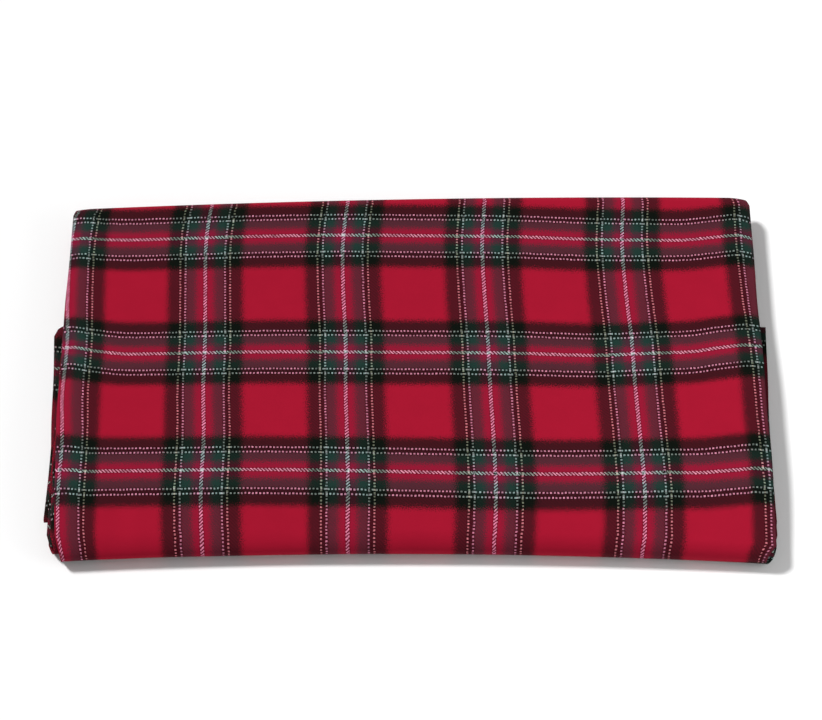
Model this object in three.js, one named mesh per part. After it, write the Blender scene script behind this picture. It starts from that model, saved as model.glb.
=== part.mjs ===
import * as THREE from "three";

// A cut length of brushed cotton tartan flannel, folded back and forth into a flat pack.
// Millimetres, +Z up. The long folds run along X and the front of the pack faces -Y.
// The origin is the middle of its footprint, on the surface that it lies on.

const RED_GROUND = 0xa61730;

const CLOTH = {
  thick: 1.3, // one layer with its raised nap
  halfWidth: 184.5, // middle of the pack to a side edge
  rollWidth: 12, // strip along each side edge that sinks
  cornerFrom: 0.965, // share of the half width where a cut end's left corner starts to round off
};

// The creases in the order that the cloth meets them, from one cut end to the other.
// arrive, leave: level in the stack, 0 at the bottom, on either side of the crease.
// left, middle, right: where it lies along Y; roundLeft, roundRight: depth of its bend over half its
// height. outLeft, outRight: how far the side edges stand out of line, which dies away over outRun.
// tuckLeft, tuckRight: how far the bend's tip draws in towards the middle; corner: how deep a cut
// end's left corner is rounded off.
const CREASES = [
  { name: "rear end", arrive: 0, leave: 0, left: 93, middle: 98, right: 99,
    roundLeft: 0, roundRight: 0, outLeft: 1, outRight: 1.2, outRun: 62,
    tuckLeft: 0, tuckRight: 0, corner: 0 },
  { name: "outer front", arrive: 0, leave: 7, left: -110.4, middle: -106, right: -111.2,
    roundLeft: 1.6, roundRight: 0.8, outLeft: -6.6, outRight: -1.4, outRun: 62,
    tuckLeft: 1.8, tuckRight: 4.6, corner: 0 },
  { name: "upper back", arrive: 7, leave: 4, left: 102, middle: 107.6, right: 109.2,
    roundLeft: 1.35, roundRight: 1.35, outLeft: -0.6, outRight: 0.3, outRun: 62,
    tuckLeft: 1.6, tuckRight: 2.2, corner: 0 },
  { name: "inner front", arrive: 4, leave: 3, left: -88.4, middle: -92, right: -90,
    roundLeft: 1.05, roundRight: 1.05, outLeft: 1.8, outRight: 0.8, outRun: 62,
    tuckLeft: 0, tuckRight: 0, corner: 0 },
  { name: "lower back", arrive: 3, leave: 2, left: 97, middle: 101.5, right: 103.5,
    roundLeft: 1.15, roundRight: 1.15, outLeft: -1.6, outRight: -1.4, outRun: 62,
    tuckLeft: 0.8, tuckRight: 0.8, corner: 0 },
  { name: "second front", arrive: 2, leave: 5, left: -102.4, middle: -101, right: -102.6,
    roundLeft: 1.6, roundRight: 1.6, outLeft: -0.9, outRight: 0.2, outRun: 62,
    tuckLeft: 1.4, tuckRight: 1.4, corner: 0 },
  { name: "inside back", arrive: 5, leave: 6, left: 94.5, middle: 100.2, right: 101.4,
    roundLeft: 1.1, roundRight: 1.1, outLeft: -1.2, outRight: -0.8, outRun: 62,
    tuckLeft: 0, tuckRight: 0, corner: 0 },
  { name: "third front", arrive: 6, leave: 1, left: -106.2, middle: -103.4, right: -107.6,
    roundLeft: 1.42, roundRight: 1.42, outLeft: -3.4, outRight: -1.2, outRun: 62,
    tuckLeft: 2, tuckRight: 1.6, corner: 0 },
  { name: "short end", arrive: 1, leave: 1, left: 34, middle: 34, right: 33,
    roundLeft: 0, roundRight: 0, outLeft: 6.4, outRight: 5.4, outRun: 110,
    tuckLeft: 0, tuckRight: 0, corner: 7 },
];

const OUT_POWER = 4; // how sharply that pull is gathered at the side edges
const TUCK = { atEnds: 2 / 3, endPower: 15 }; // share of a tuck that lies at the bend's two ends

// Height of the pack's top, row by row at equal steps from its back to its front.
// rollLeft, rollRight: how far its side edges sink below that.
const BACK = 107;
const FRONT = -107;
const TOP = [
  { left: 18.2, middle: 20.6, right: 19.4, rollLeft: 2.0, rollRight: 3.4 },
  { left: 17.8, middle: 19.9, right: 18.9, rollLeft: 1.9, rollRight: 3.4 },
  { left: 17.7, middle: 18.7, right: 18.2, rollLeft: 1.8, rollRight: 2.6 },
  { left: 18.0, middle: 18.2, right: 18.6, rollLeft: 1.6, rollRight: 2.0 },
  { left: 18.6, middle: 18.4, right: 19.5, rollLeft: 1.6, rollRight: 1.8 },
  { left: 18.9, middle: 19.8, right: 19.4, rollLeft: 1.8, rollRight: 1.8 },
  { left: 17.3, middle: 18.5, right: 17.8, rollLeft: 1.6, rollRight: 1.6 },
  { left: 14.7, middle: 15.4, right: 14.8, rollLeft: 1.2, rollRight: 1.2 },
];

const MOST_ROLL = 1.1; // an edge that stands out sinks this far past the others at most

const TOP_LEVEL = 7;
const SHORT_LEVEL = 1; // the layer that stops half way leaves this level empty behind it
const EMPTY = { from: 37, to: 72 }; // along Y, where the layers above close over that gap

const STEPS = { across: 14, run: 8, bend: 4, bendPerLevel: 0.8 };

// The table's value between its rows on a smooth curve.
function alongRows(rows, column, y) {
  const at = ((BACK - y) / (BACK - FRONT)) * (rows.length - 1);
  const k = THREE.MathUtils.clamp(Math.floor(at), 0, rows.length - 2);
  const t = THREE.MathUtils.clamp(at - k, 0, 1);
  const row = (n) => rows[THREE.MathUtils.clamp(n, 0, rows.length - 1)][column];
  const [a, b, c, d] = [row(k - 1), row(k), row(k + 1), row(k + 2)];
  return b + 0.5 * t * (c - a + t * (2 * a - 5 * b + 4 * c - d + t * (3 * (b - c) + d - a)));
}

// A parabola through a left, a middle and a right value; side runs from -1 to 1.
function across(left, middle, right, side) {
  return middle + side * (0.5 * (right - left) + side * (0.5 * (right + left) - middle));
}

// Height of the middle of a layer's thickness.
function heightOf(level, x, y) {
  const inRoll = (Math.abs(x) - CLOTH.halfWidth + CLOTH.rollWidth) / CLOTH.rollWidth;
  const sink = alongRows(TOP, x < 0 ? "rollLeft" : "rollRight", y) *
    THREE.MathUtils.clamp(inRoll, 0, MOST_ROLL) ** 2;
  const side = x / CLOTH.halfWidth;
  const [left, middle, right] = ["left", "middle", "right"].map((c) => alongRows(TOP, c, y));
  const stack = across(left, middle, right, side) - sink - CLOTH.thick;
  const full = level / TOP_LEVEL;
  const closed = Math.max(0, level - SHORT_LEVEL) / (TOP_LEVEL - SHORT_LEVEL);
  const share = THREE.MathUtils.lerp(full, closed, THREE.MathUtils.smoothstep(y, EMPTY.from, EMPTY.to));
  return CLOTH.thick / 2 + stack * share;
}

const facing = (crease) => Math.sign(crease.middle);

function tipOf(crease, side) {
  const inCorner = THREE.MathUtils.clamp((-side - CLOTH.cornerFrom) / (1 - CLOTH.cornerFrom), 0, 1);
  const cut = crease.corner * (1 - Math.sqrt(1 - inCorner ** 2));
  return across(crease.left, crease.middle, crease.right, side) - cut;
}

// How deep a bend is, from where the cloth starts to turn to its tip.
function reachOf(crease, side) {
  const [a, b] = [crease.arrive, crease.leave].map((level) =>
    heightOf(level, side * CLOTH.halfWidth, tipOf(crease, side)));
  const round = THREE.MathUtils.lerp(crease.roundLeft, crease.roundRight, (side + 1) / 2);
  return round * 0.5 * Math.abs(a - b);
}

const bendStart = (crease, side) => tipOf(crease, side) - facing(crease) * reachOf(crease, side);

// The stations along the cloth: runs between two creases, and the turn at each crease.
function stationsAlong() {
  const stations = [];
  CREASES.forEach((crease, n) => {
    const turns = crease.roundLeft ? Math.round(
      STEPS.bend + STEPS.bendPerLevel * Math.abs(crease.leave - crease.arrive)) : 0;
    for (let k = 1; k < turns; k++) stations.push({ n, turn: (k / turns) * Math.PI });
    const next = CREASES[n + 1];
    for (let k = 0; next && k <= STEPS.run; k++) stations.push({ n, run: k / STEPS.run });
  });
  return stations;
}

// A crease pulls the cloth's side edges out or in, most at the crease itself.
function sideways(crease, side, y) {
  const out = side < 0 ? -crease.outLeft : crease.outRight;
  return out * side ** OUT_POWER * Math.exp(-Math.abs(y - tipOf(crease, side)) / crease.outRun);
}

// The tip of a bend draws in a little all across, and more at its ends.
function tuckOf(crease, side) {
  const drawn = THREE.MathUtils.lerp(side, side ** TUCK.endPower, TUCK.atEnds);
  return (side < 0 ? crease.tuckLeft : crease.tuckRight) * drawn;
}

// The middle of the cloth's thickness at a station and a place across it.
function pointOn(station, side) {
  const [last, crease, next] = [-1, 0, 1].map((k) => CREASES[station.n + k]);
  const flatX = side * CLOTH.halfWidth;
  if (station.turn === undefined) {
    const y = THREE.MathUtils.lerp(bendStart(crease, side), bendStart(next, side), station.run);
    const x = flatX + sideways(crease, side, y) + sideways(next, side, y);
    return new THREE.Vector3(x, y, heightOf(crease.leave, x, y));
  }
  const tip = Math.sin(station.turn);
  const over = (1 - Math.cos(station.turn)) / 2;
  const y = bendStart(crease, side) + facing(crease) * reachOf(crease, side) * tip;
  const shift = THREE.MathUtils.lerp(sideways(last, side, y), sideways(next, side, y), over);
  const x = flatX + sideways(crease, side, y) + shift - tuckOf(crease, side) * tip;
  const z = THREE.MathUtils.lerp(heightOf(crease.arrive, x, y), heightOf(crease.leave, x, y), over);
  return new THREE.Vector3(x, y, z);
}

// The flat cloth is a thin slab, and each of its points is carried to its place in the folds.
function foldedCloth() {
  const stations = stationsAlong();
  const last = stations.length - 1;
  const slab = new THREE.BoxGeometry(1, 1, CLOTH.thick, STEPS.across, last, 1);
  const flat = slab.getAttribute("position");
  const columns = Array.from({ length: STEPS.across + 1 },
    (_, k) => -Math.cos((Math.PI * k) / STEPS.across));
  const middles = stations.map((s) => columns.map((side) => pointOn(s, side)));
  const between = (a, b) => new THREE.Vector3().subVectors(b, a);
  for (let v = 0; v < flat.count; v++) {
    const i = Math.round((flat.getX(v) + 0.5) * STEPS.across);
    const j = Math.round((flat.getY(v) + 0.5) * last);
    const alongX = between(middles[j][Math.max(i - 1, 0)], middles[j][Math.min(i + 1, STEPS.across)]);
    const alongCloth = between(middles[Math.max(j - 1, 0)][i], middles[Math.min(j + 1, last)][i]);
    const normal = new THREE.Vector3().crossVectors(alongX, alongCloth).normalize();
    const place = middles[j][i].clone().addScaledVector(normal, flat.getZ(v));
    flat.setXYZ(v, place.x, place.y, place.z);
  }
  slab.computeVertexNormals();
  slab.computeBoundingBox();
  const centre = slab.boundingBox.getCenter(new THREE.Vector3());
  return slab.translate(-centre.x, -centre.y, -slab.boundingBox.min.z);
}

const flannel = new THREE.MeshStandardMaterial({ color: RED_GROUND, roughness: 0.95, metalness: 0 });
const cloth = new THREE.Mesh(foldedCloth(), flannel);
cloth.name = "folded_cloth";

const pack = new THREE.Group();
pack.add(cloth);

export default pack;
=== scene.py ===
import math

import bmesh
import bpy
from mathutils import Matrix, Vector


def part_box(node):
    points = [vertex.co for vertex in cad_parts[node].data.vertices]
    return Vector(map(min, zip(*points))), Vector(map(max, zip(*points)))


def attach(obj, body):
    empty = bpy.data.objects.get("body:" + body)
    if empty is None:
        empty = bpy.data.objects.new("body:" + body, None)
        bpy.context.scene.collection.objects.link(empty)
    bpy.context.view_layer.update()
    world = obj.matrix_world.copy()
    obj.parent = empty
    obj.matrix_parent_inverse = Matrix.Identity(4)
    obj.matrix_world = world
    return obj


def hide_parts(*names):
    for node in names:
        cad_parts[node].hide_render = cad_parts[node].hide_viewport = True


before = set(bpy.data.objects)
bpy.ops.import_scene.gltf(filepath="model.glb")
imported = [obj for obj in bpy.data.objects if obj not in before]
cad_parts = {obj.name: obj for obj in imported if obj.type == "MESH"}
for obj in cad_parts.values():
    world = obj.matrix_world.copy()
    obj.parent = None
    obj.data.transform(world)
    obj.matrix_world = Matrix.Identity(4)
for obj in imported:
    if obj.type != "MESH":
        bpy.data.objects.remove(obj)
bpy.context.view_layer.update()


# The cloth: one cut length of tartan flannel, brushed on both faces, folded back and forth into a flat pack.
# It is folded in half three times over, so its bends lie inside each other at the front and the back,
# and the last layer is a short one that stops half way back. Sizes are in millimetres.
MM = 0.001
THICK = 1.0
HALF_WIDTH = 184.5
ROLL_WIDTH = 12.0
CORNER_FROM = 0.965
OUT_POWER = 4
TUCK_AT_ENDS, TUCK_END_POWER = 2 / 3, 15

# In the order that the cloth meets them: its two ends and the creases between.
CREASES = [
    dict(name="rear end", arrive=0, leave=0, left=93, middle=98, right=99,
         round_left=0, round_right=0,
         out_left=1, out_right=1.2, out_run=62, tuck_left=0, tuck_right=0, corner=0),
    dict(name="outer front", arrive=0, leave=7, left=-110.4, middle=-106, right=-111.2,
         round_left=1.6, round_right=0.8,
         out_left=-6.6, out_right=-1.4, out_run=62, tuck_left=1.8, tuck_right=4.6, corner=0),
    dict(name="upper back", arrive=7, leave=4, left=102, middle=107.6, right=109.2,
         round_left=1.35, round_right=1.35,
         out_left=-0.6, out_right=0.3, out_run=62, tuck_left=1.6, tuck_right=2.2, corner=0),
    dict(name="inner front", arrive=4, leave=3, left=-88.4, middle=-92, right=-90,
         round_left=1.05, round_right=1.05,
         out_left=1.8, out_right=0.8, out_run=62, tuck_left=0, tuck_right=0, corner=0),
    dict(name="lower back", arrive=3, leave=2, left=97, middle=101.5, right=103.5,
         round_left=1.15, round_right=1.15,
         out_left=-1.6, out_right=-1.4, out_run=62, tuck_left=0.8, tuck_right=0.8, corner=0),
    dict(name="second front", arrive=2, leave=5, left=-102.4, middle=-101, right=-102.6,
         round_left=1.6, round_right=1.6,
         out_left=-0.9, out_right=0.2, out_run=62, tuck_left=1.4, tuck_right=1.4, corner=0),
    dict(name="inside back", arrive=5, leave=6, left=94.5, middle=100.2, right=101.4,
         round_left=1.1, round_right=1.1,
         out_left=-1.2, out_right=-0.8, out_run=62, tuck_left=0, tuck_right=0, corner=0),
    dict(name="third front", arrive=6, leave=1, left=-106.2, middle=-103.4, right=-107.6,
         round_left=1.42, round_right=1.42,
         out_left=-3.4, out_right=-1.2, out_run=62, tuck_left=2, tuck_right=1.6, corner=0),
    dict(name="short end", arrive=1, leave=1, left=34, middle=34, right=33,
         round_left=0, round_right=0,
         out_left=6.4, out_right=5.4, out_run=110, tuck_left=0, tuck_right=0, corner=7),
]

# Height of the pack's top from its back to its front, and how far its side edges sink below that.
BACK, FRONT = 107.0, -107.0
TOP = [
    dict(left=18.2, middle=20.6, right=19.4, roll_left=2.0, roll_right=3.4),
    dict(left=17.8, middle=19.9, right=18.9, roll_left=1.9, roll_right=3.4),
    dict(left=17.7, middle=18.7, right=18.2, roll_left=1.8, roll_right=2.6),
    dict(left=18.0, middle=18.2, right=18.6, roll_left=1.6, roll_right=2.0),
    dict(left=18.6, middle=18.4, right=19.5, roll_left=1.6, roll_right=1.8),
    dict(left=18.9, middle=19.8, right=19.4, roll_left=1.8, roll_right=1.8),
    dict(left=17.3, middle=18.5, right=17.8, roll_left=1.6, roll_right=1.6),
    dict(left=14.7, middle=15.4, right=14.8, roll_left=1.2, roll_right=1.2),
]
MOST_ROLL = 1.1
TOP_LEVEL, SHORT_LEVEL = 7, 1
GAP_CLOSES = (37.0, 72.0)

# Soft troughs in the pack's top, and ridges where the depth is below zero, from one place to another.
CREASE_LINES = [
    dict(name="trough at the left front", x0=-149, y0=-60, x1=-146, y1=-112, depth=0.5, half_width=7),
    dict(name="hollow along the front", x0=-112, y0=-100, x1=-38, y1=-98, depth=1.0, half_width=11),
    dict(name="trough in the second square", x0=-96, y0=-14, x1=-58, y1=-52, depth=0.3, half_width=9),
    dict(name="ridge in the middle", x0=-12, y0=-40, x1=30, y1=4, depth=-0.35, half_width=13),
    dict(name="trough at the right", x0=66, y0=-50, x1=92, y1=-22, depth=0.4, half_width=10),
    dict(name="ridge at the left back", x0=-160, y0=30, x1=-118, y1=62, depth=-0.3, half_width=12),
]
EDGE_WAVE, EDGE_WAVE_PITCH, EDGE_WAVE_POWER = 0.3, 11.0, 8

# steps of the mesh across the cloth, along a layer and round a bend
ACROSS = 120
TOP_RUN, HIDDEN_RUN = 100, 24
BEND, BEND_PER_LEVEL = 9, 2.2


def mix(a, b, t):
    return a + (b - a) * t


def smoothstep(x, low, high):
    t = min(max((x - low) / (high - low), 0), 1)
    return t * t * (3 - 2 * t)


def along_rows(table, column, y):
    """The value between rows that lie at equal steps from back to front, on a smooth curve."""
    at = (BACK - y) / (BACK - FRONT) * (len(table) - 1)
    k = min(max(math.floor(at), 0), len(table) - 2)
    t = min(max(at - k, 0), 1)
    a, b, c, d = (table[min(max(n, 0), len(table) - 1)][column] for n in range(k - 1, k + 3))
    return b + 0.5 * t * (c - a + t * (2 * a - 5 * b + 4 * c - d + t * (3 * (b - c) + d - a)))


def across(left, middle, right, side):
    return middle + side * (0.5 * (right - left) + side * (0.5 * (right + left) - middle))


def trough_at(x, y):
    """How deep the soft creases press the pack's top in at a place."""
    total = 0
    for line in CREASE_LINES:
        along_x, along_y = line["x1"] - line["x0"], line["y1"] - line["y0"]
        long = math.hypot(along_x, along_y)
        from_x, from_y = x - line["x0"], y - line["y0"]
        at = (from_x * along_x + from_y * along_y) / long ** 2
        off = (from_x * along_y - from_y * along_x) / long / line["half_width"]
        past = (at - 0.5) * 2
        total += line["depth"] * math.exp(-off ** 2 - past ** 4)
    return total


def height_of(level, x, y):
    """Height of the middle of a layer's thickness."""
    in_roll = (abs(x) - HALF_WIDTH + ROLL_WIDTH) / ROLL_WIDTH
    roll = along_rows(TOP, "roll_left" if x < 0 else "roll_right", y)
    sink = roll * min(max(in_roll, 0), MOST_ROLL) ** 2
    top = across(*(along_rows(TOP, c, y) for c in ("left", "middle", "right")), x / HALF_WIDTH)
    full = level / TOP_LEVEL
    closed = max(0, level - SHORT_LEVEL) / (TOP_LEVEL - SHORT_LEVEL)
    share = mix(full, closed, smoothstep(y, *GAP_CLOSES))
    return THICK / 2 + (top - sink - trough_at(x, y) - THICK) * share


def facing(crease):
    return math.copysign(1, crease["middle"])


def tip_of(crease, side):
    """Where a crease lies along Y. A cut end's left corner is rounded off."""
    in_corner = min(max((-side - CORNER_FROM) / (1 - CORNER_FROM), 0), 1)
    cut = crease["corner"] * (1 - math.sqrt(1 - in_corner ** 2))
    return across(crease["left"], crease["middle"], crease["right"], side) - cut


def reach_of(crease, side):
    """How far a bend stands out from where its layers stop being flat."""
    x, y = side * HALF_WIDTH, tip_of(crease, side)
    gap = abs(height_of(crease["arrive"], x, y) - height_of(crease["leave"], x, y))
    return mix(crease["round_left"], crease["round_right"], (side + 1) / 2) * 0.5 * gap


def bend_start(crease, side):
    return tip_of(crease, side) - facing(crease) * reach_of(crease, side)


def sideways(crease, side, y):
    """A crease pulls the cloth's side edges out or in, most at the crease itself."""
    out = -crease["out_left"] if side < 0 else crease["out_right"]
    return out * side ** OUT_POWER * math.exp(-abs(y - tip_of(crease, side)) / crease["out_run"])


def tuck_of(crease, side):
    """How far the tip of a bend draws in, a little all across and more at its ends."""
    tuck = crease["tuck_left" if side < 0 else "tuck_right"]
    return tuck * mix(side, side ** TUCK_END_POWER, TUCK_AT_ENDS)


def stations_along():
    """(crease, part of a turn or None, part of the run after it or None), from end to end of the cloth."""
    found = []
    for n, crease in enumerate(CREASES):
        levels = abs(crease["leave"] - crease["arrive"])
        turns = round(BEND + BEND_PER_LEVEL * levels) if crease["round_left"] else 0
        found += [(n, k / turns * math.pi, None) for k in range(1, turns)]
        if n < len(CREASES) - 1:
            steps = TOP_RUN if crease["leave"] == TOP_LEVEL else HIDDEN_RUN
            found += [(n, None, k / steps) for k in range(steps + 1)]
    return found


def point_on(station, side):
    n, turn, run = station
    crease = CREASES[n]
    flat_x = side * HALF_WIDTH
    if turn is None:
        after = CREASES[n + 1]
        y = mix(bend_start(crease, side), bend_start(after, side), run)
        x = flat_x + sideways(crease, side, y) + sideways(after, side, y)
        wave = math.sin(math.pi * run) * math.sin(y / EDGE_WAVE_PITCH + n)
        x += EDGE_WAVE * side ** EDGE_WAVE_POWER * wave
        return Vector((x, y, height_of(crease["leave"], x, y)))
    before, after = CREASES[n - 1], CREASES[n + 1]
    tip, over = math.sin(turn), (1 - math.cos(turn)) / 2
    y = bend_start(crease, side) + facing(crease) * reach_of(crease, side) * tip
    shift = mix(sideways(before, side, y), sideways(after, side, y), over)
    x = flat_x + sideways(crease, side, y) + shift - tuck_of(crease, side) * tip
    return Vector((x, y, mix(height_of(crease["arrive"], x, y), height_of(crease["leave"], x, y), over)))


# Where the pattern lies on the cloth: the third white line's place, how much wider the sett is pulled
# towards the right, and the row where the second band across has its white line.
THIRD_LINE = -36.2
PULL = 7.5e-5
SECOND_BAND = 7.0

# How far the five white lines have slipped to the right, row by row as above, with the thin pairs next to
# the pack's two sides and the right edge of the first dark band.
LINE_SIDES = dict(first=-0.98, pair=-0.925, edge=-0.86, second=-0.59, third=-0.195, fourth=0.21, fifth=0.62,
                  last=0.95)
SLIPS = [
    dict(first=0.3, pair=0.2, edge=-1.1, second=1.2, third=1.7, fourth=1.9, fifth=2.1, last=0),
    dict(first=-2, pair=-1.8, edge=-1.6, second=-0.8, third=-0.5, fourth=0.1, fifth=0.2, last=-0.5),
    dict(first=-0.9, pair=-0.8, edge=-0.6, second=0.1, third=0.1, fourth=0.8, fifth=0.9, last=0.6),
    dict(first=0.6, pair=0.7, edge=0.8, second=1.3, third=1.8, fourth=2.2, fifth=2.5, last=2),
    dict(first=0.3, pair=0.7, edge=0.8, second=1.7, third=2.2, fourth=2.9, fifth=3, last=2.9),
    dict(first=1.5, pair=2.1, edge=1.1, second=3.2, third=3.4, fourth=4, fifth=4, last=3.2),
    dict(first=0.2, pair=1.2, edge=1, second=2.9, third=4.2, fourth=4.7, fifth=4.9, last=4),
    dict(first=-0.2, pair=1, edge=0.5, second=3.9, third=4.3, fourth=3.8, fifth=3.8, last=3.4),
]

# How far the three bands across sag towards the front at these places between the sides.
BAND_ROWS = dict(back=81, middle=7, front=-67)
SAGS = [
    dict(side=-0.97, back=0, middle=-3.5, front=-2.7),
    dict(side=-0.9, back=1.3, middle=-0.9, front=-1.6),
    dict(side=-0.82, back=1.7, middle=0.9, front=-2),
    dict(side=-0.72, back=1.3, middle=0.8, front=-2),
    dict(side=-0.45, back=0, middle=-0.3, front=-2.4),
    dict(side=-0.2, back=-0.6, middle=-0.3, front=-1.7),
    dict(side=0, back=-0.1, middle=0.1, front=-0.8),
    dict(side=0.3, back=0.6, middle=0.7, front=0.4),
    dict(side=0.52, back=2.2, middle=2.1, front=0.2),
    dict(side=0.7, back=2.6, middle=0.7, front=-0.6),
    dict(side=0.8, back=2.5, middle=-0.1, front=-0.6),
    dict(side=0.87, back=0.9, middle=-2.4, front=-1.7),
    dict(side=0.95, back=-1.2, middle=-4.5, front=-3.2),
]


def smooth_through(places, values, at):
    """The value at a place on a smooth curve through the given ones."""
    if at <= places[0]:
        return values[0]
    if at >= places[-1]:
        return values[-1]
    last = len(places) - 1
    k = max(n for n in range(last) if places[n] <= at)
    step = places[k + 1] - places[k]
    t = (at - places[k]) / step
    before, after = max(k - 1, 0), min(k + 2, last)
    slope = step * (values[k + 1] - values[before]) / (places[k + 1] - places[before])
    next_slope = step * (values[after] - values[k]) / (places[after] - places[k])
    bend = t * t * (3 - 2 * t)
    return mix(values[k], values[k + 1], bend) + t * (1 - t) * (slope * (1 - t) - next_slope * t)


def slip_at(side, y):
    values = [along_rows(SLIPS, line, y) for line in LINE_SIDES]
    return smooth_through(list(LINE_SIDES.values()), values, side)


def sag_at(side, y):
    sides = [row["side"] for row in SAGS]
    bands = {BAND_ROWS[band]: smooth_through(sides, [row[band] for row in SAGS], side) for band in BAND_ROWS}
    rows = sorted(bands)
    return smooth_through(rows, [bands[row] for row in rows], y)


# How far the pattern moves to the right, at each side edge, and along the cloth in two stretches of the
# hidden layers, so that dark bands lie where their edges show.
HIDDEN = [
    dict(start=115, end=260, slip_left=17.5, slip_right=10, lead=27.5),
    dict(start=300, end=900, slip_left=0, slip_right=0, lead=31.3),
]


def pattern_place(station, side, y, run):
    """Place on the flat cloth, from the third white line and from the second band's white line."""
    from_line = side * HALF_WIDTH - THIRD_LINE
    n = station[0]
    on_top = n == 1 and station[2] is not None
    row = y if on_top else (FRONT if n <= 1 else BACK)
    slip, lead = slip_at(side, row), sag_at(side, row)
    for stretch in HIDDEN:
        hidden = smoothstep(run, stretch["start"], stretch["end"])
        slip += mix(stretch["slip_left"], stretch["slip_right"], (side + 1) / 2) * hidden
        lead += stretch["lead"] * hidden
    return from_line - PULL * from_line ** 2 - slip, run + lead


stations = stations_along()
last = len(stations) - 1
# closer together towards the side edges
sides = [0.5 * (2 * k / ACROSS - 1) - 0.5 * math.cos(math.pi * k / ACROSS) for k in range(ACROSS + 1)]
middles = [[point_on(s, side) for side in sides] for s in stations]

flat_place = [[None] * (ACROSS + 1) for _ in stations]
for i in range(ACROSS + 1):
    run = [0.0]
    for j in range(last):
        run.append(run[-1] + (middles[j + 1][i] - middles[j][i]).length)
    on_top = [j for j, s in enumerate(stations) if s[0] == 1 and s[2] is not None]
    j0 = max(j for j in on_top if middles[j][i].y <= SECOND_BAND)
    low, high = middles[j0][i].y, middles[j0 + 1][i].y
    datum = mix(run[j0], run[j0 + 1], (SECOND_BAND - low) / (high - low))
    for j, s in enumerate(stations):
        flat_place[j][i] = pattern_place(s, sides[i], middles[j][i].y, run[j] - datum)

bm = bmesh.new()
bmesh.ops.create_grid(bm, x_segments=ACROSS, y_segments=last, size=0.5)
uv = bm.loops.layers.uv.new("cloth")
for vert in bm.verts:
    vert.index = round((vert.co.x + 0.5) * ACROSS) + (ACROSS + 1) * round((vert.co.y + 0.5) * last)
for face in bm.faces:
    for loop in face.loops:
        j, i = divmod(loop.vert.index, ACROSS + 1)
        loop[uv].uv = Vector(flat_place[j][i]) * MM
for vert in bm.verts:
    j, i = divmod(vert.index, ACROSS + 1)
    vert.co = middles[j][i] * MM
    for face in vert.link_faces:
        face.smooth = True
mesh = bpy.data.meshes.new("folded_flannel")
bm.to_mesh(mesh)
bm.free()
flannel = bpy.data.objects.new("folded_flannel", mesh)
bpy.context.collection.objects.link(flannel)
body = flannel.modifiers.new("thickness", "SOLIDIFY")
body.thickness = THICK * MM
body.offset = 0

# Sits in its solid: both are centred on the same footprint.
low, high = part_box("folded_cloth")
own_low = Vector([min(v.co[k] for v in mesh.vertices) for k in range(3)])
own_high = Vector([max(v.co[k] for v in mesh.vertices) for k in range(3)])
shift = (low + high - own_low - own_high) / 2
for v in mesh.vertices:
    v.co += Vector((shift.x, shift.y, 0))

# The yarns: a 2/2 twill with the same sett both ways, 160 threads to a repeat, turning at its white line
# and again in the middle of the red ground. The red, green and black yarns are brushed into one nap.
# The white and yellow ones are firm and stand a little proud, with painted shade along a groove at their
# sides.
SETT_WIDTH, SETT_THREADS = 74.0, 160
THREAD = SETT_WIDTH / SETT_THREADS * MM
HALF_SETT = SETT_THREADS // 2
RED = (0.346, 0.0065, 0.0255, 1)
DEEP_RED = (0.22, 0.0083, 0.033, 1)
GREEN = (0.0126, 0.0368, 0.0296, 1)
BLACK = (0.0029, 0.0050, 0.0031, 1)
WARP_WHITE = (0.96, 0.9, 1.0, 1)
WEFT_WHITE = (0.8, 0.86, 0.82, 1)
THIN_WHITE = (0.58, 0.63, 0.64, 0.7)
YELLOW = (0.57, 0.53, 0.38, 0.7)
# painted shade: black at 0.3 cover beside the firm lines, for the shade where they stand proud
PAINTED_GROOVE_SHADE = (0, 0, 0, 0.3)
BARE = (0, 0, 0, 0)
# first thread of each stripe, counted from the middle of the white line
NAP = [(0, DEEP_RED), (10, GREEN), (23, BLACK), (43.5, RED)]
FIRM_WARP = [(0, WARP_WHITE), (2, PAINTED_GROOVE_SHADE), (3, BARE), (21, PAINTED_GROOVE_SHADE), (22, THIN_WHITE), (24, PAINTED_GROOVE_SHADE),
             (28, YELLOW), (30, PAINTED_GROOVE_SHADE), (31, BARE)]
FIRM_WEFT = [(0, WEFT_WHITE), (2, PAINTED_GROOVE_SHADE), (3, BARE), (21, PAINTED_GROOVE_SHADE), (22, THIN_WHITE), (24, PAINTED_GROOVE_SHADE),
             (28, THIN_WHITE), (30, PAINTED_GROOVE_SHADE), (31, BARE)]


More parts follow.
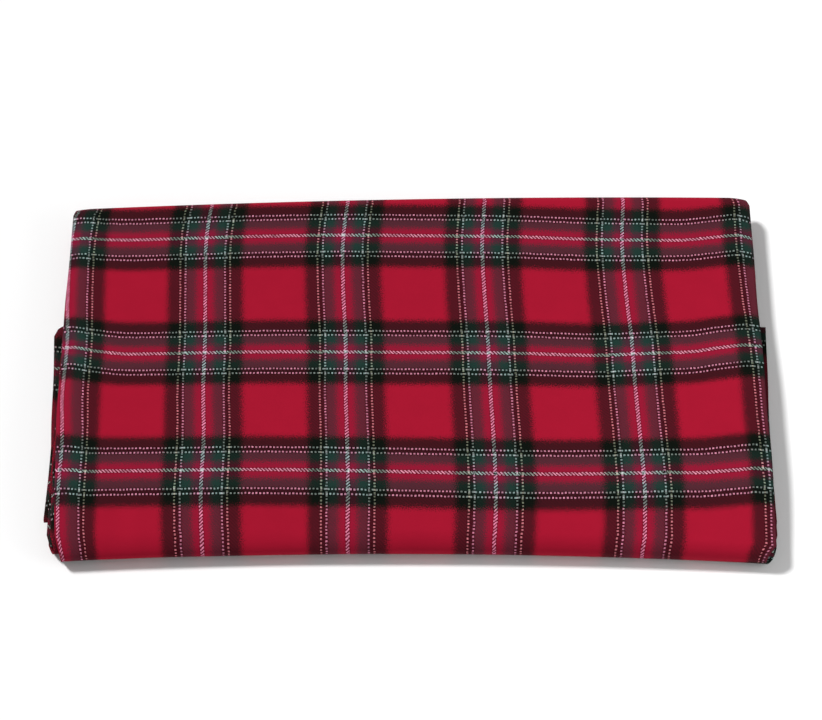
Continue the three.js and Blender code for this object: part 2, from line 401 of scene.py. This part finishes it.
class Field:
    """A node's output, with arithmetic."""

    def __init__(self, socket):
        self.socket = socket

    def node(self, kind, settings=None, inputs=None, output=0):
        tree = self.socket.id_data
        made = tree.nodes.new(kind)
        for name, value in (settings or {}).items():
            if name == "stops":
                ramp = made.color_ramp
                while len(ramp.elements) < len(value):
                    ramp.elements.new(1)
                for element, (place, colour) in zip(ramp.elements, value):
                    element.position = place
                    element.color = colour
            elif name == "interpolation":
                made.color_ramp.interpolation = value
            else:
                setattr(made, name, value)
        for key, value in (inputs or {}).items():
            if isinstance(value, Field):
                tree.links.new(value.socket, made.inputs[key])
            else:
                made.inputs[key].default_value = value
        return Field(made.outputs[output])

    def maths(self, operation, *others):
        inputs = dict(enumerate((self,) + others))
        return self.node("ShaderNodeMath", {"operation": operation}, inputs)

    def __add__(self, other):
        return self.maths("ADD", other)

    __radd__ = __add__

    def __mul__(self, other):
        return self.maths("MULTIPLY", other)

    __rmul__ = __mul__

    def __sub__(self, other):
        return self.maths("SUBTRACT", other)

    def __rsub__(self, other):
        return (self * -1) + other

    def colour_mix(self, a, b):
        """a where this is 0 and b where it is 1."""
        return self.node("ShaderNodeMix", {"data_type": "RGBA"}, {0: self, 6: a, 7: b}, output=2)

    def times(self, other):
        """The product of two colours."""
        settings = {"data_type": "RGBA", "blend_type": "MULTIPLY"}
        return self.node("ShaderNodeMix", settings, {0: 1.0, 6: self, 7: other}, output=2)

    def seen_through(self, other, share):
        """This colour with the given share of another one's fibres lying over it."""
        own = self.node("ShaderNodeGamma", None, {0: self, 1: 1 - share})
        return own.times(other.node("ShaderNodeGamma", None, {0: other, 1: share}))

    def grey(self):
        return self.node("ShaderNodeCombineColor", None, {0: self, 1: self, 2: self})


material = bpy.data.materials.new("brushed_tartan_twill")
material.use_nodes = True
material.node_tree.nodes.clear()
shader = material.node_tree.nodes.new("ShaderNodeBsdfPrincipled")
surface = material.node_tree.nodes.new("ShaderNodeOutputMaterial")
material.node_tree.links.new(shader.outputs[0], surface.inputs[0])
flat = Field(material.node_tree.nodes.new("ShaderNodeUVMap").outputs[0])
flat.socket.node.uv_map = "cloth"

ends = flat.node("ShaderNodeSeparateXYZ", None, {0: flat}).socket.node.outputs


def soft_noise(scale, detail, roughness=0.5):
    """(one value, two more as a pair), all round a half."""
    settings = {"noise_dimensions": "2D"}
    made = flat.node("ShaderNodeTexNoise", settings,
                     {"Vector": flat, "Scale": scale, "Detail": detail, "Roughness": roughness})
    colour = Field(made.socket.node.outputs[1])
    pair = colour.node("ShaderNodeSeparateColor", None, {0: colour}).socket.node.outputs
    return made, (Field(pair[0]), Field(pair[1]))


# The yarns wander a little, and the fibres that the brushing raised stray over their neighbours.
WANDER, WANDER_GRAIN = 1.3, 300.0
STRAY, STRAY_GRAIN = 26.0, 2200.0
FIBRE_GRAIN = 2600.0
CLOUD_GRAIN = 75.0
wander = soft_noise(WANDER_GRAIN, detail=1.0)[1]
stray = soft_noise(STRAY_GRAIN, detail=2.0, roughness=0.6)[1]
fibre = soft_noise(FIBRE_GRAIN, detail=3.0, roughness=0.6)[0]
cloud = soft_noise(CLOUD_GRAIN, detail=4.0, roughness=0.6)[0]
warp_at = Field(ends[0]) * (1 / THREAD) + (wander[0] - 0.5) * WANDER
weft_at = Field(ends[1]) * (1 / THREAD) + (wander[1] - 0.5) * WANDER
warp_thread = warp_at.maths("FLOOR")
weft_thread = weft_at.maths("FLOOR")


def stripes(place, sett):
    """The colour and the cover of the sett at a place across it, in threads from a white line."""
    from_line = place.maths("PINGPONG", float(HALF_SETT)) * (1 / HALF_SETT)
    stops = [(first / HALF_SETT, colour) for first, colour in sett]
    ramp = place.node("ShaderNodeValToRGB", {"interpolation": "CONSTANT", "stops": stops}, {0: from_line})
    return ramp, Field(ramp.socket.node.outputs[1])


# The two threads of a thin line go over and under together, and the twill turns round on a wide line
# along the cloth. A line's cover is above WIDE where it is wide, above FIRM where thin, and else painted
# groove shade.
FIRM = 0.5
WIDE = 0.85
TWILL_ROUND = 4.0
FLOAT = 2
warp_line, warp_cover = stripes(warp_thread + 0.5, FIRM_WARP)
weft_line, weft_cover = stripes(weft_thread + 0.5, FIRM_WEFT)
warp_firm = warp_cover.maths("GREATER_THAN", FIRM)
weft_firm = weft_cover.maths("GREATER_THAN", FIRM)
warp_wide = warp_cover.maths("GREATER_THAN", WIDE)
weft_wide = weft_cover.maths("GREATER_THAN", WIDE)
warp_second = warp_thread.maths("FLOORED_MODULO", 2.0) * (warp_firm - warp_wide)
weft_second = weft_thread.maths("FLOORED_MODULO", 2.0) * (weft_firm - weft_wide)
warp_step = warp_thread - warp_second - 2 * warp_thread * warp_wide
weft_step = weft_thread - weft_second
in_round = (warp_step + weft_step).maths("FLOORED_MODULO", TWILL_ROUND)
warp_over = in_round.maths("LESS_THAN", FLOAT - 0.5)
weft_over = 1 - warp_over

# The nap hides most of the twill, and a yarn shows more where it runs across the pack than along it.
WEFT_ON_WARP = 0.3
WARP_ON_WEFT = 0.2
TWILL_SHOWS = 0.2
warp_nap = stripes(warp_at + (stray[0] - 0.5) * STRAY, NAP)[0]
weft_nap = stripes(weft_at + (stray[1] - 0.5) * STRAY, NAP)[0]
upper_share = (warp_over - 0.5) * TWILL_SHOWS + 0.5
nap = upper_share.colour_mix(weft_nap.seen_through(warp_nap, WARP_ON_WEFT),
                             warp_nap.seen_through(weft_nap, WEFT_ON_WARP))

# A firm yarn floats over two others and dips under two; painted shade darkens the gap where it dips, and
# where two firm yarns cross.
WEFT_ON_FIRM = 0.3
WARP_ON_FIRM = 0.26
UNEVEN, UNEVEN_GRAIN = 1.6, 520.0
GAP_SHADE = 0.56
WIDE_GAP_SHADE = 0.63
CROSSED_SHADE = 0.62
TONE, FIBRE_TONE, CLOUD_TONE = 0.92, 0.06, 0.1
firm_over = warp_over * warp_firm + weft_over * weft_firm
firm_under = weft_over * warp_firm + warp_over * weft_firm
# painted shade in the groove beside a firm line, where neither crossing yarn is firm
painted_groove_shade = warp_cover.maths("MAXIMUM", weft_cover) * (1 - warp_firm.maths("MAXIMUM", weft_firm))
warp_yarn = warp_firm.colour_mix(warp_nap, warp_line)
weft_yarn = weft_firm.colour_mix(weft_nap, weft_line)
line = warp_over.colour_mix(weft_line.seen_through(warp_yarn, WARP_ON_FIRM),
                            warp_line.seen_through(weft_yarn, WEFT_ON_FIRM))
uneven = firm_over * (soft_noise(UNEVEN_GRAIN, detail=1.0)[0] - 0.5) * UNEVEN
# how much painted shade darkens the gaps where a firm yarn dips under, more in a wide line
gap = warp_wide.maths("MAXIMUM", weft_wide) * (WIDE_GAP_SHADE - GAP_SHADE) + GAP_SHADE
painted_dip_shade = (1 - firm_over) * firm_under * gap
# painted shade where a firm yarn crosses over another firm one
painted_crossing_shade = firm_over * firm_under * CROSSED_SHADE
# the painted shade of grooves, gaps and crossings, together with the uneven tone of the firm floats
shade = 1 - painted_groove_shade - painted_dip_shade - painted_crossing_shade + uneven
tone = shade * (TONE + fibre * FIBRE_TONE + cloud * CLOUD_TONE)
colour = firm_over.colour_mix(nap, line).times(tone.grey())

# Each yarn is round, with raised fibres on it.
YARN_RELIEF, FIBRE_RELIEF = 0.6, 0.8
BUMP_STRENGTH, BUMP_DEPTH = 0.35, 0.1
ROUGHNESS, FIBRE_ROUGHNESS = 0.82, 0.14
across_warp = (warp_at.maths("FRACT") * math.pi).maths("SINE")
across_weft = (weft_at.maths("FRACT") * math.pi).maths("SINE")
yarn_round = warp_over * across_warp + weft_over * across_weft
relief = yarn_round * YARN_RELIEF + fibre * FIBRE_RELIEF
bump_inputs = {"Strength": BUMP_STRENGTH, "Distance": BUMP_DEPTH * MM, "Height": relief}
bump = relief.node("ShaderNodeBump", None, bump_inputs)
roughness = ROUGHNESS + fibre * FIBRE_ROUGHNESS

material.node_tree.links.new(colour.socket, shader.inputs["Base Color"])
material.node_tree.links.new(roughness.socket, shader.inputs["Roughness"])
material.node_tree.links.new(bump.socket, shader.inputs["Normal"])
shader.inputs["Sheen Weight"].default_value = 0.03
shader.inputs["Sheen Roughness"].default_value = 0.4
shader.inputs["Specular IOR Level"].default_value = 0.04
mesh.materials.append(material)

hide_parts("folded_cloth")
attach(flannel, "root")


# The surface that the pack lies on, and the light: a matt white table in a white room,
# a broad lamp up on the left towards the back, and a weak soft panel at the right front.
FLOOR_HALF = 3.0
FLOOR_DROP = 0.0001
bm = bmesh.new()
bmesh.ops.create_grid(bm, x_segments=1, y_segments=1, size=FLOOR_HALF)
bmesh.ops.translate(bm, verts=bm.verts, vec=(0, 0, -FLOOR_DROP))
floor_mesh = bpy.data.meshes.new("table_top")
bm.to_mesh(floor_mesh)
bm.free()
floor = bpy.data.objects.new("table_top", floor_mesh)
bpy.context.collection.objects.link(floor)
white = bpy.data.materials.new("white_table")
white.use_nodes = True
table = white.node_tree.nodes["Principled BSDF"]
table.inputs["Base Color"].default_value = (0.93, 0.93, 0.93, 1)
table.inputs["Roughness"].default_value = 0.9
table.inputs["Specular IOR Level"].default_value = 0.1
table.inputs["Emission Color"].default_value = (1, 1, 1, 1)
table.inputs["Emission Strength"].default_value = 0.02
floor_mesh.materials.append(white)

LAMP_STRENGTH = 3.05
LAMP_SIZE = math.radians(11)
LAMP_HEIGHT = math.radians(52)
LAMP_AZIMUTH = math.radians(62)
ROOM_LIGHT = 0.27
PANEL_AT = Vector((0.62, -0.26, 0.34))
PANEL_WATTS = 1.6
PANEL_SIZE = 0.5
lamp_data = bpy.data.lights.new("lamp", "SUN")
lamp_data.energy = LAMP_STRENGTH
lamp_data.angle = LAMP_SIZE
lamp = bpy.data.objects.new("lamp", lamp_data)
bpy.context.collection.objects.link(lamp)
towards = Vector((-math.sin(LAMP_AZIMUTH) * math.cos(LAMP_HEIGHT),
                  math.cos(LAMP_AZIMUTH) * math.cos(LAMP_HEIGHT), math.sin(LAMP_HEIGHT)))
lamp.rotation_euler = towards.to_track_quat("Z", "Y").to_euler()
lamp.location = towards

panel_data = bpy.data.lights.new("panel", "AREA")
panel_data.energy = PANEL_WATTS
panel_data.size = PANEL_SIZE
panel = bpy.data.objects.new("panel", panel_data)
bpy.context.collection.objects.link(panel)
panel.location = PANEL_AT
panel.rotation_euler = PANEL_AT.to_track_quat("Z", "Y").to_euler()

room = bpy.data.worlds.new("white_room")
room.use_nodes = True
room.node_tree.nodes["Background"].inputs[0].default_value = (1, 1, 1, 1)
room.node_tree.nodes["Background"].inputs[1].default_value = ROOM_LIGHT
bpy.context.scene.world = room
bpy.context.scene.view_settings.view_transform = "Standard"


# The camera, at the photograph's angle over the front of the pack.
PHOTO_WIDTH = 822
FOCAL_PIXELS = 2500
SENSOR = 36.0
CAMERA_HEIGHT = math.radians(57)
CAMERA_FROM = 1.330
AIM_Y = 14.0
camera_data = bpy.data.cameras.new("camera")
camera_data.sensor_width = SENSOR
camera_data.lens = FOCAL_PIXELS / PHOTO_WIDTH * SENSOR
camera = bpy.data.objects.new("camera", camera_data)
bpy.context.collection.objects.link(camera)
aim = Vector((shift.x, AIM_Y * MM + shift.y, 0))
back = Vector((0, -math.cos(CAMERA_HEIGHT), math.sin(CAMERA_HEIGHT)))
camera.location = aim + back * CAMERA_FROM
camera.rotation_euler = back.to_track_quat("Z", "Y").to_euler()
bpy.context.scene.camera = camera
